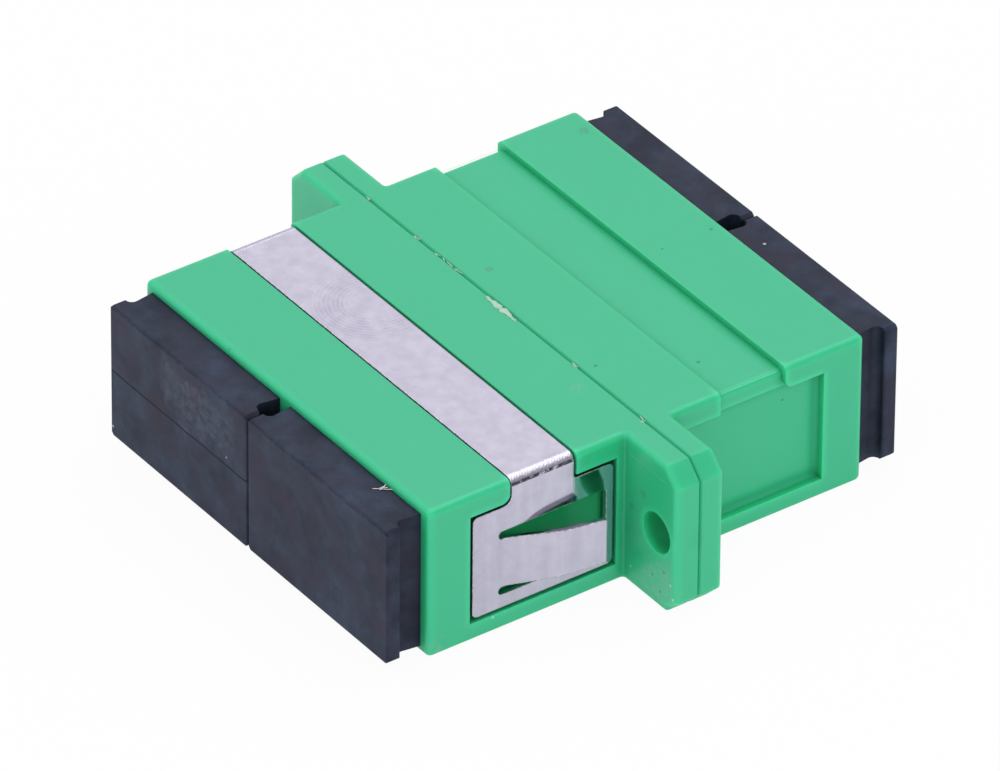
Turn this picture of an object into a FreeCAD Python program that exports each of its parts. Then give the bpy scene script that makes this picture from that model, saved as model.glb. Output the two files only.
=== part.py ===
"""Duplex SC fibre adapter with two flange holes, a sprung panel clip and four dust caps.

Frame: millimetres, +Z up. X runs across the flange, Y along the ports. The origin is at the
underside, midway between the two ports, in the plane where the two halves are welded.
"""
import FreeCAD
import Part
import math
import os

import Sketcher

SIZES = {
    # housing half
    "body_width": 25.9,
    "body_height": 9.3,
    "half_length": 14.0,
    "outer_edge_radius": 0.35,
    "ear_reach": 4.6,
    "flange_half_thickness": 1.52,
    "flange_corner_cut": 1.0,
    "ear_root_radius": 0.15,
    "weld_edge_cut": 0.12,
    "screw_hole_diameter": 2.4,
    "screw_hole_edge_distance": 1.75,
    # ports
    "port_pitch": 12.7,
    "port_width": 9.1,
    "port_wall": 0.9,
    "port_lead_in": 0.3,
    "keyway_width": 2.4,
    "keyway_length": 7.0,
    # side recess and clip groove
    "recess_depth": 0.6,
    "recess_near": 2.02,
    "recess_length": 9.35,
    "recess_bottom": 1.15,
    "recess_top_rim": 1.35,
    "recess_root_radius": 0.25,
    "groove_depth": 0.35,
    "groove_near": 4.62,
    "groove_width": 4.23,
    "groove_edge_radius": 0.3,
    "lip_corner_radius": 0.5,
    # panel clip
    "clip_thickness": 0.3,
    "clip_bend_radius": 0.25,
    "clip_side_clearance": 0.13,
    "clip_end_clearance": 0.2,
    "clip_edge_clearance": 0.22,
    "clip_corner_radius": 0.35,
    "clip_near_web_radius": 0.2,
    "clip_far_web_radius": 0.55,
    "window_rim": 0.45,
    "window_corner_radius": 0.25,
    "slot_width": 0.5,
    "tongue_width": 3.05,
    "tongue_tip_width": 2.7,
    "tongue_root_margin": 2.1,
    "tongue_slot_relief": 0.45,
    "tongue_foot_margin": 1.3,
    "tongue_run": 3.0,
    "tongue_rise": 1.2,
    "tongue_tip_run": 2.4,
    "tongue_tip_rise": 0.3,
    "tongue_tip_radius": 0.15,
    "tongue_root_bend": 0.6,
    "tongue_knee_bend": 6.0,
    # latch holder
    "holder_thickness": 1.0,
    "holder_margin": 0.55,
    "seat_clearance": 0.05,
    "tube_wall": 0.85,
    "tube_lip": 0.6,
    "tube_lip_bore": 2.8,
    "tube_lead_in": 0.3,
    "arm_gap": 0.35,
    "arm_thickness": 0.75,
    "arm_width": 3.2,
    "arm_length": 10.4,
    "arm_root_radius": 0.35,
    "hook_reach": 8.5,
    "hook_depth": 0.55,
    "hook_land": 0.5,
    # alignment sleeve
    "sleeve_bore": 2.495,
    "sleeve_wall": 0.35,
    "sleeve_length": 11.4,
    "sleeve_slot": 0.5,
    "sleeve_end_cut": 0.12,
    "sleeve_clearance": 0.08,
    "sleeve_end_play": 0.1,
    # dust cap
    "cap_gap": 0.06,
    "cap_edge_inset": 0.45,
    "cap_plate_thickness": 0.88,
    "cap_plate_radius": 0.15,
    "cap_corner_cut": 0.2,
    "cap_neck_depth": 1.55,
    "cap_neck_inset": 0.45,
    "cap_grip_inset": 0.68,
    "cap_grip_radius": 0.4,
    "cap_plug_length": 5.0,
    "cap_plug_wall": 0.7,
    "cap_plug_clearance": 0.075,
    "cap_plug_corner_cut": 0.4,
    "cap_plug_tip_cut": 0.25,
    "cap_face_thickness": 1.4,
}

# Places that several features share, as expressions of the sheet's sizes.
HALF_WIDTH = "Sizes.body_width / 2"
EAR_END = "(Sizes.body_width / 2 + Sizes.ear_reach)"
SCREW_X = "(Sizes.body_width / 2 + Sizes.ear_reach - Sizes.screw_hole_edge_distance)"
AXIS_X = "Sizes.port_pitch / 2"
AXIS_Z = "Sizes.body_height / 2"
PORT_HEIGHT = "(Sizes.body_height - 2 * Sizes.port_wall)"
RECESS_X = "(Sizes.body_width / 2 - Sizes.recess_depth)"
RECESS_FAR = "(Sizes.recess_near + Sizes.recess_length)"
RECESS_TOP = "(Sizes.body_height - Sizes.recess_top_rim)"
GROOVE_X = "(Sizes.body_width / 2 - Sizes.groove_depth)"
GROOVE_Z = "(Sizes.body_height - Sizes.groove_depth)"
GROOVE_FAR = "(Sizes.groove_near + Sizes.groove_width)"
PLATE_NEAR = "(Sizes.recess_near + Sizes.clip_end_clearance)"
PLATE_FAR = "(Sizes.recess_near + Sizes.recess_length - Sizes.clip_end_clearance)"
PLATE_BOTTOM = "(Sizes.recess_bottom + Sizes.clip_edge_clearance)"
PLATE_TOP = "(Sizes.body_height - Sizes.recess_top_rim - Sizes.clip_edge_clearance)"
TONGUE_BOTTOM = "(Sizes.recess_bottom + Sizes.clip_edge_clearance + Sizes.tongue_foot_margin)"
TONGUE_TOP = ("(Sizes.recess_bottom + Sizes.clip_edge_clearance + Sizes.tongue_foot_margin"
              " + Sizes.tongue_width)")
HOLDER_WIDTH = "(Sizes.port_width + 2 * Sizes.holder_margin)"
HOLDER_HEIGHT = "(Sizes.body_height - 2 * Sizes.port_wall + Sizes.holder_margin)"
SLEEVE_OUTER = "(Sizes.sleeve_bore + 2 * Sizes.sleeve_wall)"
TUBE_BORE = "(Sizes.sleeve_bore + 2 * Sizes.sleeve_wall + 2 * Sizes.sleeve_clearance)"
TUBE_OUTER = ("(Sizes.sleeve_bore + 2 * Sizes.sleeve_wall + 2 * Sizes.sleeve_clearance"
              " + 2 * Sizes.tube_wall)")
ARM_X = ("(Sizes.sleeve_bore / 2 + Sizes.sleeve_wall + Sizes.sleeve_clearance"
         " + Sizes.tube_wall + Sizes.arm_gap)")
SLEEVE_SPACE = "(Sizes.sleeve_length / 2 + Sizes.sleeve_end_play)"
PLUG_WIDTH = "(Sizes.port_width - 2 * Sizes.cap_plug_clearance)"
PLUG_HEIGHT = "(Sizes.body_height - 2 * Sizes.port_wall - 2 * Sizes.cap_plug_clearance)"
CAP_HALF_WIDTH = "(Sizes.port_pitch / 2 - Sizes.cap_gap / 2)"
CAP_HEIGHT = "(Sizes.body_height - 2 * Sizes.cap_edge_inset)"
CAP_DEPTH = "(Sizes.cap_neck_depth + Sizes.cap_plate_thickness)"
OVERCUT = "5"
ROUND_END = "0.48"  # share of a slot's width that rounds both corners of its end
SAME = 1e-4

doc = FreeCAD.newDocument("sc_fibre_adapter")


def make_sheet():
    """Driving dimensions, one named cell each."""
    sheet = doc.addObject("Spreadsheet::Sheet", "Sizes")
    for row, (name, value) in enumerate(SIZES.items(), start=1):
        sheet.set(f"A{row}", name)
        sheet.set(f"B{row}", str(value))
        sheet.setAlias(f"B{row}", name)
    doc.recompute()
    return sheet


sheet = make_sheet()


def size(name):
    return float(getattr(sheet, name))


# Sketches

def make_body(label, along_x="0", along_z="0", turned=False):
    """Empty body placed on a port axis or on the origin; turned bodies face +Y."""
    body = doc.addObject("PartDesign::Body", label)
    body.Label = label
    if turned:
        body.Placement.Rotation = FreeCAD.Rotation(FreeCAD.Vector(0, 0, 1), 180)
    body.setExpression("Placement.Base.x", along_x)
    body.setExpression("Placement.Base.z", along_z)
    return body


def make_sketch(body, name, plane, lift=None):
    sketch = body.newObject("Sketcher::SketchObject", name)
    support = next(item for item in body.Origin.OriginFeatures if item.Role == plane)
    sketch.AttachmentSupport = [(support, "")]
    sketch.MapMode = "FlatFace"
    if lift:
        sketch.setExpression("AttachmentOffset.Base.z", lift)
    return sketch


def place_point(sketch, geometry, position, across, along):
    """Hold a sketch point at two expressions measured from the sketch's origin."""
    for kind, axis, expression in (("DistanceX", -2, across), ("DistanceY", -1, along)):
        if expression == "0":
            sketch.addConstraint(Sketcher.Constraint("PointOnObject", geometry, position, axis))
            continue
        index = sketch.addConstraint(Sketcher.Constraint(kind, -1, 1, geometry, position, 1.0))
        sketch.setExpression(f"Constraints[{index}]", expression)


def add_loop(sketch, corners):
    """Closed loop of straight lines through corners given as pairs of expressions."""
    count = len(corners)
    ring = []
    for number in range(count):
        turn = 2 * math.pi * number / count
        ring.append(FreeCAD.Vector(math.cos(turn), math.sin(turn), 0))
    first = sketch.GeometryCount
    for number in range(count):
        sketch.addGeometry(Part.LineSegment(ring[number], ring[(number + 1) % count]))
    for number in range(count):
        follower = first + (number + 1) % count
        sketch.addConstraint(Sketcher.Constraint("Coincident", first + number, 2, follower, 1))
    for number, (across, along) in enumerate(corners):
        place_point(sketch, first + number, 1, across, along)


def add_rectangle(sketch, left, right, low, high):
    add_loop(sketch, [(left, low), (right, low), (right, high), (left, high)])


def add_centred_rectangle(sketch, width, height, across="0", along="0"):
    add_rectangle(sketch, f"{across} - {width} / 2", f"{across} + {width} / 2",
                  f"{along} - {height} / 2", f"{along} + {height} / 2")


def add_circle(sketch, diameter, across="0", along="0"):
    circle = Part.Circle(FreeCAD.Vector(0, 0, 0), FreeCAD.Vector(0, 0, 1), 1.0)
    geometry = sketch.addGeometry(circle)
    place_point(sketch, geometry, 3, across, along)
    index = sketch.addConstraint(Sketcher.Constraint("Diameter", geometry, 2.0))
    sketch.setExpression(f"Constraints[{index}]", diameter)


# Features

def pad(body, sketch, length, name, reverse=False, centred=False):
    feature = body.newObject("PartDesign::Pad", name)
    feature.Profile = sketch
    feature.Midplane = centred
    feature.Reversed = reverse
    feature.setExpression("Length", length)
    doc.recompute()
    return feature


def pocket(body, sketch, name, length=None, reverse=False, centred=False):
    """Cut to a depth, or through everything; fails where nothing is removed."""
    volume_before = body.Shape.Volume
    feature = body.newObject("PartDesign::Pocket", name)
    feature.Profile = sketch
    feature.Midplane = centred
    feature.Reversed = reverse
    if length:
        feature.setExpression("Length", length)
    else:
        feature.Type = "ThroughAll"
    doc.recompute()
    if body.Shape.Volume > volume_before - SAME:
        raise RuntimeError(f"{body.Label}: {name} cuts nothing")
    return feature


def mirror(body, features, name):
    """Repeat features on the other side of the YZ plane."""
    feature = body.newObject("PartDesign::Mirrored", name)
    feature.Originals = features
    plane = next(item for item in body.Origin.OriginFeatures if item.Role == "YZ_Plane")
    feature.MirrorPlane = (plane, [""])
    body.Tip = feature
    doc.recompute()
    return feature


def edges_where(shape, test):
    """Names of the edges whose ends and middle pass the test."""
    names = []
    for number, edge in enumerate(shape.Edges, start=1):
        middle = edge.valueAt((edge.FirstParameter + edge.LastParameter) / 2)
        points = [vertex.Point for vertex in edge.Vertexes] + [middle]
        if all(test(point) for point in points):
            names.append(f"Edge{number}")
    return names


def dress(body, kind, name, amount, test):
    """Fillet or chamfer the edges that pass the test."""
    base = body.Tip
    names = edges_where(base.Shape, test)
    if not names:
        raise RuntimeError(f"{body.Label}: {name} finds no edge")
    feature = body.newObject(f"PartDesign::{kind}", name)
    feature.Base = (base, names)
    feature.setExpression("Radius" if kind == "Fillet" else "Size", amount)
    body.Tip = feature
    doc.recompute()
    return feature


def near(value, target):
    return abs(value - target) < SAME


# Pieces

def build_housing(label, turned):
    """One moulded half: body, flange ears, two ports, side recesses and the clip groove."""
    body = make_body(label, turned=turned)
    half_width = size("body_width") / 2
    height = size("body_height")
    end = -size("half_length")

    outline = make_sketch(body, label + "_block_outline", "XZ_Plane")
    add_rectangle(outline, "-" + HALF_WIDTH, HALF_WIDTH, "0", "Sizes.body_height")
    pad(body, outline, "Sizes.half_length", label + "_block")

    inner_ear = f"({EAR_END} - Sizes.flange_corner_cut)"
    low = "Sizes.flange_corner_cut"
    high = "Sizes.body_height - Sizes.flange_corner_cut"
    flange = make_sketch(body, label + "_flange_outline", "XZ_Plane")
    add_loop(flange, [("-" + inner_ear, "0"), (inner_ear, "0"), (EAR_END, low), (EAR_END, high),
                      (inner_ear, "Sizes.body_height"), ("-" + inner_ear, "Sizes.body_height"),
                      ("-" + EAR_END, high), ("-" + EAR_END, low)])
    pad(body, flange, "Sizes.flange_half_thickness", label + "_flange")
    flange_face = -size("flange_half_thickness")
    dress(body, "Fillet", label + "_ear_roots", "Sizes.ear_root_radius",
          lambda point: near(point.y, flange_face) and near(abs(point.x), half_width))
    ear_corner = half_width + size("ear_reach") - size("flange_corner_cut") - SAME

    def on_outer_edge(point):
        on_level = near(point.z, 0) or near(point.z, height)
        on_ear_end = near(point.y, flange_face) and abs(point.x) > ear_corner
        return (on_level and point.y < flange_face + SAME) or near(point.y, end) or on_ear_end

    dress(body, "Fillet", label + "_outer_edges", "Sizes.outer_edge_radius", on_outer_edge)
    dress(body, "Chamfer", label + "_weld_edge", "Sizes.weld_edge_cut",
          lambda point: near(point.y, 0))

    seats = make_sketch(body, label + "_seat_outlines", "XZ_Plane")
    ports = make_sketch(body, label + "_port_outlines", "XZ_Plane")
    holes = make_sketch(body, label + "_screw_hole_outlines", "XZ_Plane")
    keyways = make_sketch(body, label + "_keyway_outlines", "XY_Plane")
    for sign in ("-", ""):
        axis = sign + AXIS_X
        add_centred_rectangle(seats, f"({HOLDER_WIDTH} + 2 * Sizes.seat_clearance)",
                              f"({HOLDER_HEIGHT} + 2 * Sizes.seat_clearance)", axis, AXIS_Z)
        add_centred_rectangle(ports, "Sizes.port_width", PORT_HEIGHT, axis, AXIS_Z)
        add_circle(holes, "Sizes.screw_hole_diameter", sign + SCREW_X, AXIS_Z)
        add_rectangle(keyways, f"{axis} - Sizes.keyway_width / 2", f"{axis} + Sizes.keyway_width / 2",
                      f"-Sizes.half_length - {OVERCUT}", "Sizes.keyway_length - Sizes.half_length")
    pocket(body, seats, label + "_seats", "Sizes.holder_thickness", reverse=True)
    pocket(body, ports, label + "_ports", reverse=True)
    inside = size("port_width") / 2 + SAME
    dress(body, "Chamfer", label + "_port_lead_ins", "Sizes.port_lead_in",
          lambda point: near(point.y, end) and abs(abs(point.x) - size("port_pitch") / 2) < inside
          and abs(point.z - height / 2) < height / 2 - size("port_wall") + SAME)
    pocket(body, keyways, label + "_keyways", AXIS_Z, reverse=True)
    pocket(body, holes, label + "_screw_holes", reverse=True)

    recess = make_sketch(body, label + "_recess_outline", "YZ_Plane", RECESS_X)
    add_rectangle(recess, "-" + RECESS_FAR, "-Sizes.recess_near", "Sizes.recess_bottom", RECESS_TOP)
    side = pocket(body, recess, label + "_recess", "Sizes.recess_depth", reverse=True)
    mirror(body, [side], label + "_recess_pair")
    recess_x = half_width - size("recess_depth")
    dress(body, "Fillet", label + "_recess_root", "Sizes.recess_root_radius",
          lambda point: near(abs(point.x), recess_x)
          and (near(point.z, size("recess_bottom"))
               or near(point.y, -size("recess_near") - size("recess_length"))))

    groove = make_sketch(body, label + "_groove_section", "XZ_Plane", GROOVE_FAR)
    outside = f"({HALF_WIDTH} + {OVERCUT})"
    above = f"(Sizes.body_height + {OVERCUT})"
    add_loop(groove, [("-" + outside, RECESS_TOP), ("-" + GROOVE_X, RECESS_TOP),
                      ("-" + GROOVE_X, GROOVE_Z), (GROOVE_X, GROOVE_Z), (GROOVE_X, RECESS_TOP),
                      (outside, RECESS_TOP), (outside, above), ("-" + outside, above)])
    pocket(body, groove, label + "_groove", "Sizes.groove_width")
    groove_x = half_width - size("groove_depth")
    groove_z = height - size("groove_depth")
    dress(body, "Fillet", label + "_groove_edges", "Sizes.groove_edge_radius",
          lambda point: near(abs(point.x), groove_x) and near(point.z, groove_z))
    recess_top = height - size("recess_top_rim")
    groove_far = -size("groove_near") - size("groove_width")
    dress(body, "Fillet", label + "_lip_corners", "Sizes.lip_corner_radius",
          lambda point: near(point.y, groove_far) and near(point.z, recess_top))
    return body


def build_panel_clip(label):
    """Sheet steel spring: a strip over the top, a plate down each side, a raised tongue in each."""
    body = make_body(label)
    inside = GROOVE_X
    outside = f"({GROOVE_X} + Sizes.clip_thickness)"
    top = f"({GROOVE_Z} + Sizes.clip_thickness)"

    strip = make_sketch(body, label + "_strip_section", "XZ_Plane",
                        "Sizes.groove_near + Sizes.clip_side_clearance")
    add_loop(strip, [("-" + outside, PLATE_TOP), ("-" + inside, PLATE_TOP), ("-" + inside, GROOVE_Z),
                     (inside, GROOVE_Z), (inside, PLATE_TOP), (outside, PLATE_TOP),
                     (outside, top), ("-" + outside, top)])
    pad(body, strip, "Sizes.groove_width - 2 * Sizes.clip_side_clearance", label + "_strip")

    inside_x = size("body_width") / 2 - size("groove_depth")
    outside_x = inside_x + size("clip_thickness")
    floor_z = size("body_height") - size("groove_depth")
    top_z = floor_z + size("clip_thickness")
    dress(body, "Fillet", label + "_inner_bends", "Sizes.clip_bend_radius",
          lambda point: near(abs(point.x), inside_x) and near(point.z, floor_z))
    dress(body, "Fillet", label + "_outer_bends", "Sizes.clip_bend_radius + Sizes.clip_thickness",
          lambda point: near(abs(point.x), outside_x) and near(point.z, top_z))

    plate = make_sketch(body, label + "_plate_outline", "YZ_Plane", GROOVE_X)
    add_rectangle(plate, "-" + PLATE_FAR, "-" + PLATE_NEAR, PLATE_BOTTOM, PLATE_TOP)
    window = f"-({PLATE_NEAR} + Sizes.window_rim)"
    root = f"-({PLATE_FAR} - Sizes.tongue_root_margin)"
    slot_end = f"-({PLATE_FAR} - Sizes.tongue_root_margin + Sizes.tongue_slot_relief)"
    slot_low = f"{TONGUE_BOTTOM} - Sizes.slot_width"
    slot_high = f"{TONGUE_TOP} + Sizes.slot_width"
    add_loop(plate, [(window, slot_low), (window, slot_high), (slot_end, slot_high),
                     (slot_end, TONGUE_TOP), (root, TONGUE_TOP), (root, TONGUE_BOTTOM),
                     (slot_end, TONGUE_BOTTOM), (slot_end, slot_low)])
    plates = pad(body, plate, "Sizes.clip_thickness", label + "_plate")

    tongue = make_sketch(body, label + "_tongue_section", "XY_Plane", TONGUE_BOTTOM)
    foot = f"{root} - Sizes.tongue_slot_relief"
    knee = f"{root} + Sizes.tongue_run"
    tip = f"{knee} + Sizes.tongue_tip_run"
    knee_lift = "Sizes.tongue_rise"
    tip_lift = "Sizes.tongue_rise + Sizes.tongue_tip_rise"
    add_loop(tongue, [(inside, foot), (outside, foot), (outside, root),
                      (f"{outside} + {knee_lift}", knee), (f"{outside} + {tip_lift}", tip),
                      (f"{inside} + {tip_lift}", tip), (f"{inside} + {knee_lift}", knee),
                      (inside, root)])
    tongues = pad(body, tongue, "Sizes.tongue_width", label + "_tongue")
    mirror(body, [plates, tongues], label + "_other_side")

    plate_near = -size("recess_near") - size("clip_end_clearance")
    plate_far = size("clip_end_clearance") - size("recess_near") - size("recess_length")
    plate_bottom = size("recess_bottom") + size("clip_edge_clearance")
    plate_top = size("body_height") - size("recess_top_rim") - size("clip_edge_clearance")
    strip_near = -size("groove_near") - size("clip_side_clearance")
    strip_far = size("clip_side_clearance") - size("groove_near") - size("groove_width")
    dress(body, "Fillet", label + "_plate_corners", "Sizes.clip_corner_radius",
          lambda point: (near(point.y, plate_near) or near(point.y, plate_far))
          and (near(point.z, plate_bottom) or near(point.z, plate_top)))
    dress(body, "Fillet", label + "_near_webs", "Sizes.clip_near_web_radius",
          lambda point: near(point.y, strip_near) and near(point.z, plate_top))
    dress(body, "Fillet", label + "_far_webs", "Sizes.clip_far_web_radius",
          lambda point: near(point.y, strip_far) and near(point.z, plate_top))

    root_y = plate_far + size("tongue_root_margin")
    knee_y = root_y + size("tongue_run")
    tip_y = knee_y + size("tongue_tip_run")
    knee_x = size("tongue_rise")
    tongue_levels = (plate_bottom + size("tongue_foot_margin"),
                     plate_bottom + size("tongue_foot_margin") + size("tongue_width"))

    def at_bend(point, across, along):
        return near(abs(point.x), across) and near(point.y, along)

    bends = [("root_inside", "Sizes.tongue_root_bend", outside_x, root_y),
             ("root_outside", "Sizes.tongue_root_bend + Sizes.clip_thickness", inside_x, root_y),
             ("knee_inside", "Sizes.tongue_knee_bend", inside_x + knee_x, knee_y),
             ("knee_outside", "Sizes.tongue_knee_bend + Sizes.clip_thickness",
              outside_x + knee_x, knee_y)]
    for name, radius, across, along in bends:
        dress(body, "Fillet", f"{label}_{name}", radius,
              lambda point, across=across, along=along: at_bend(point, across, along))

    taper = make_sketch(body, label + "_tongue_taper_outline", "YZ_Plane")
    narrowing = "(Sizes.tongue_width - Sizes.tongue_tip_width) / 2"
    add_loop(taper, [(root, TONGUE_TOP), (tip, f"{TONGUE_TOP} - {narrowing}"), (tip, TONGUE_TOP)])
    add_loop(taper, [(root, TONGUE_BOTTOM), (tip, TONGUE_BOTTOM),
                     (tip, f"{TONGUE_BOTTOM} + {narrowing}")])
    pocket(body, taper, label + "_tongue_taper", centred=True)
    tip_margin = (size("tongue_width") - size("tongue_tip_width")) / 2
    tip_levels = (tongue_levels[0] + tip_margin, tongue_levels[1] - tip_margin)
    dress(body, "Fillet", label + "_tongue_tips", "Sizes.tongue_tip_radius",
          lambda point: near(point.y, tip_y) and any(near(point.z, level) for level in tip_levels))
    slot_end_y = root_y - size("tongue_slot_relief")
    slot_levels = (tongue_levels[0] - size("slot_width"), tongue_levels[0],
                   tongue_levels[1], tongue_levels[1] + size("slot_width"))
    dress(body, "Fillet", label + "_slot_ends", f"Sizes.slot_width * {ROUND_END}",
          lambda point: near(point.y, slot_end_y)
          and any(near(point.z, level) for level in slot_levels))
    window_y = plate_near - size("window_rim")
    window_levels = (slot_levels[0], slot_levels[3])
    dress(body, "Fillet", label + "_window_corners", "Sizes.window_corner_radius",
          lambda point: near(point.y, window_y)
          and any(near(point.z, level) for level in window_levels))
    return body


def build_latch_holder(label, sign, turned):
    """Inner moulding on a port's axis: clamped plate, sleeve tube and two hooked latch arms."""
    body = make_body(label, sign + AXIS_X, AXIS_Z, turned)
    plate = make_sketch(body, label + "_plate_outline", "XZ_Plane")
    add_centred_rectangle(plate, HOLDER_WIDTH, HOLDER_HEIGHT)
    pad(body, plate, "Sizes.holder_thickness", label + "_plate")
    tube = make_sketch(body, label + "_tube_outline", "XZ_Plane")
    add_circle(tube, TUBE_OUTER)
    pad(body, tube, f"{SLEEVE_SPACE} + Sizes.tube_lip", label + "_tube")

    arm = make_sketch(body, label + "_arm_outline", "XY_Plane")
    inner = ARM_X
    outer = f"({ARM_X} + Sizes.arm_thickness)"
    nose = f"({ARM_X} - Sizes.hook_depth)"
    land = "-(Sizes.hook_reach + Sizes.hook_land)"
    add_loop(arm, [(inner, "0"), (outer, "0"), (outer, "-Sizes.arm_length"),
                   (inner, "-Sizes.arm_length"), (nose, land), (nose, "-Sizes.hook_reach"),
                   (inner, "-Sizes.hook_reach")])
    arms = pad(body, arm, "Sizes.arm_width", label + "_arm", centred=True)
    mirror(body, [arms], label + "_other_arm")
    arm_x = size("sleeve_bore") / 2 + size("sleeve_wall") + size("sleeve_clearance")
    arm_x += size("tube_wall") + size("arm_gap")
    plate_face = -size("holder_thickness")
    dress(body, "Fillet", label + "_arm_roots", "Sizes.arm_root_radius",
          lambda point: near(point.y, plate_face)
          and near(abs(point.x), arm_x + size("arm_thickness")))

    bore = make_sketch(body, label + "_bore_outline", "XZ_Plane")
    add_circle(bore, TUBE_BORE)
    pocket(body, bore, label + "_bore", SLEEVE_SPACE, reverse=True)
    mouth = make_sketch(body, label + "_mouth_outline", "XZ_Plane")
    add_circle(mouth, "Sizes.tube_lip_bore")
    pocket(body, mouth, label + "_mouth", reverse=True)
    tube_end = -size("sleeve_length") / 2 - size("sleeve_end_play") - size("tube_lip")
    mouth_reach = size("tube_lip_bore") / 2 + SAME
    dress(body, "Chamfer", label + "_mouth_lead_in", "Sizes.tube_lead_in",
          lambda point: near(point.y, tube_end) and math.hypot(point.x, point.z) < mouth_reach)
    return body


def build_alignment_sleeve(label, sign):
    """Split zirconia tube that lines up the two ferrules, its slot upwards."""
    body = make_body(label, sign + AXIS_X, AXIS_Z)
    ring = make_sketch(body, label + "_ring", "XZ_Plane")
    add_circle(ring, SLEEVE_OUTER)
    add_circle(ring, "Sizes.sleeve_bore")
    pad(body, ring, "Sizes.sleeve_length", label + "_tube", centred=True)
    half = size("sleeve_length") / 2
    bore_reach = size("sleeve_bore") / 2 + SAME
    dress(body, "Chamfer", label + "_lead_ins", "Sizes.sleeve_end_cut",
          lambda point: near(abs(point.y), half) and math.hypot(point.x, point.z) < bore_reach)
    slot = make_sketch(body, label + "_slot_outline", "XZ_Plane")
    add_rectangle(slot, "-Sizes.sleeve_slot / 2", "Sizes.sleeve_slot / 2", "0", SLEEVE_OUTER)
    pocket(body, slot, label + "_slot", "2 * Sizes.sleeve_length", centred=True)
    return body


def build_dust_cap(label, sign, turned):
    """Moulded cap: face plate, waisted neck to grip, and a hollow plug that fits the port."""
    body = make_body(label, sign + AXIS_X, AXIS_Z, turned)
    mouth = "Sizes.half_length"
    head = make_sketch(body, label + "_head_outline", "XY_Plane")
    neck = f"({CAP_HALF_WIDTH} - Sizes.cap_neck_inset)"
    grip = f"({CAP_HALF_WIDTH} - Sizes.cap_grip_inset)"
    plate_back = f"-({mouth} + Sizes.cap_neck_depth)"
    plate_face = f"-({mouth} + {CAP_DEPTH})"
    add_loop(head, [("-" + neck, f"-{mouth}"), (neck, f"-{mouth}"), (grip, plate_back),
                    (CAP_HALF_WIDTH, plate_back), (CAP_HALF_WIDTH, plate_face),
                    ("-" + CAP_HALF_WIDTH, plate_face), ("-" + CAP_HALF_WIDTH, plate_back),
                    ("-" + grip, plate_back)])
    pad(body, head, CAP_HEIGHT, label + "_head", centred=True)
    half_width = size("port_pitch") / 2 - size("cap_gap") / 2
    back_y = -size("half_length") - size("cap_neck_depth")
    face_y = back_y - size("cap_plate_thickness")
    half_height = size("body_height") / 2 - size("cap_edge_inset")
    dress(body, "Chamfer", label + "_plate_corners", "Sizes.cap_corner_cut",
          lambda point: near(abs(point.x), half_width) and near(abs(point.z), half_height))
    dress(body, "Fillet", label + "_grips", "Sizes.cap_grip_radius",
          lambda point: near(point.y, back_y) and near(abs(point.x), half_width - size("cap_grip_inset")))
    dress(body, "Fillet", label + "_plate_edges", "Sizes.cap_plate_radius",
          lambda point: near(point.y, face_y)
          or (near(abs(point.x), half_width) and near(point.y, back_y)))

    plug = make_sketch(body, label + "_plug_outline", "XZ_Plane", mouth)
    add_centred_rectangle(plug, PLUG_WIDTH, PLUG_HEIGHT)
    pad(body, plug, "Sizes.cap_plug_length", label + "_plug", reverse=True)
    plug_x = size("port_width") / 2 - size("cap_plug_clearance")
    plug_z = size("body_height") / 2 - size("port_wall") - size("cap_plug_clearance")
    tip_y = size("cap_plug_length") - size("half_length")
    dress(body, "Chamfer", label + "_plug_corners", "Sizes.cap_plug_corner_cut",
          lambda point: near(abs(point.x), plug_x) and near(abs(point.z), plug_z))
    dress(body, "Chamfer", label + "_plug_tip", "Sizes.cap_plug_tip_cut",
          lambda point: near(point.y, tip_y))
    hollow = make_sketch(body, label + "_hollow_outline", "XZ_Plane",
                         f"{mouth} + {CAP_DEPTH} - Sizes.cap_face_thickness")
    add_centred_rectangle(hollow, f"({PLUG_WIDTH} - 2 * Sizes.cap_plug_wall)",
                          f"({PLUG_HEIGHT} - 2 * Sizes.cap_plug_wall)")
    pocket(body, hollow, label + "_hollow")
    return body


def build_adapter():
    """Every piece of the adapter, in the order they are put together."""
    pieces = [build_housing("front_housing", False), build_housing("rear_housing", True)]
    for side, sign in (("left", "-"), ("right", "")):
        pieces.append(build_alignment_sleeve("alignment_sleeve_" + side, sign))
        for end, turned in (("front", False), ("rear", True)):
            pieces.append(build_latch_holder(f"latch_holder_{end}_{side}", sign, turned))
            pieces.append(build_dust_cap(f"dust_cap_{end}_{side}", sign, turned))
    pieces.append(build_panel_clip("panel_clip"))
    return pieces


def check_document(pieces):
    """Stop on any failed object or unsound solid."""
    for item in doc.Objects:
        if "Invalid" in item.State or "Error" in item.State:
            raise RuntimeError(f"{item.Name} failed: {item.State}")
    for piece in pieces:
        if piece.Shape.isNull() or not piece.Shape.isValid() or len(piece.Shape.Solids) != 1:
            raise RuntimeError(f"{piece.Label} is not one valid solid")


def write_parts(pieces):
    os.makedirs("parts", exist_ok=True)
    for piece in pieces:
        piece.Shape.exportStep(f"parts/{piece.Label}.step")
        box = piece.Shape.BoundBox
        print(f"{piece.Label}: {piece.Shape.Volume:.2f} mm3, "
              f"{box.XLength:.2f} x {box.YLength:.2f} x {box.ZLength:.2f} mm")


pieces = build_adapter()
doc.recompute()
check_document(pieces)
write_parts(pieces)
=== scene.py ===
"""Finishes, small moulding marks and a plain studio for a duplex SC fibre adapter.

Everything is in metres in the part's own frame: +X along the flange, +Y towards the rear
ports, +Z up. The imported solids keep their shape; this file gives them their materials and
adds the marks that moulding and welding leave on them.
"""
import math
import random
from functools import partial

import bpy
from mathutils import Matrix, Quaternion, Vector


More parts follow.
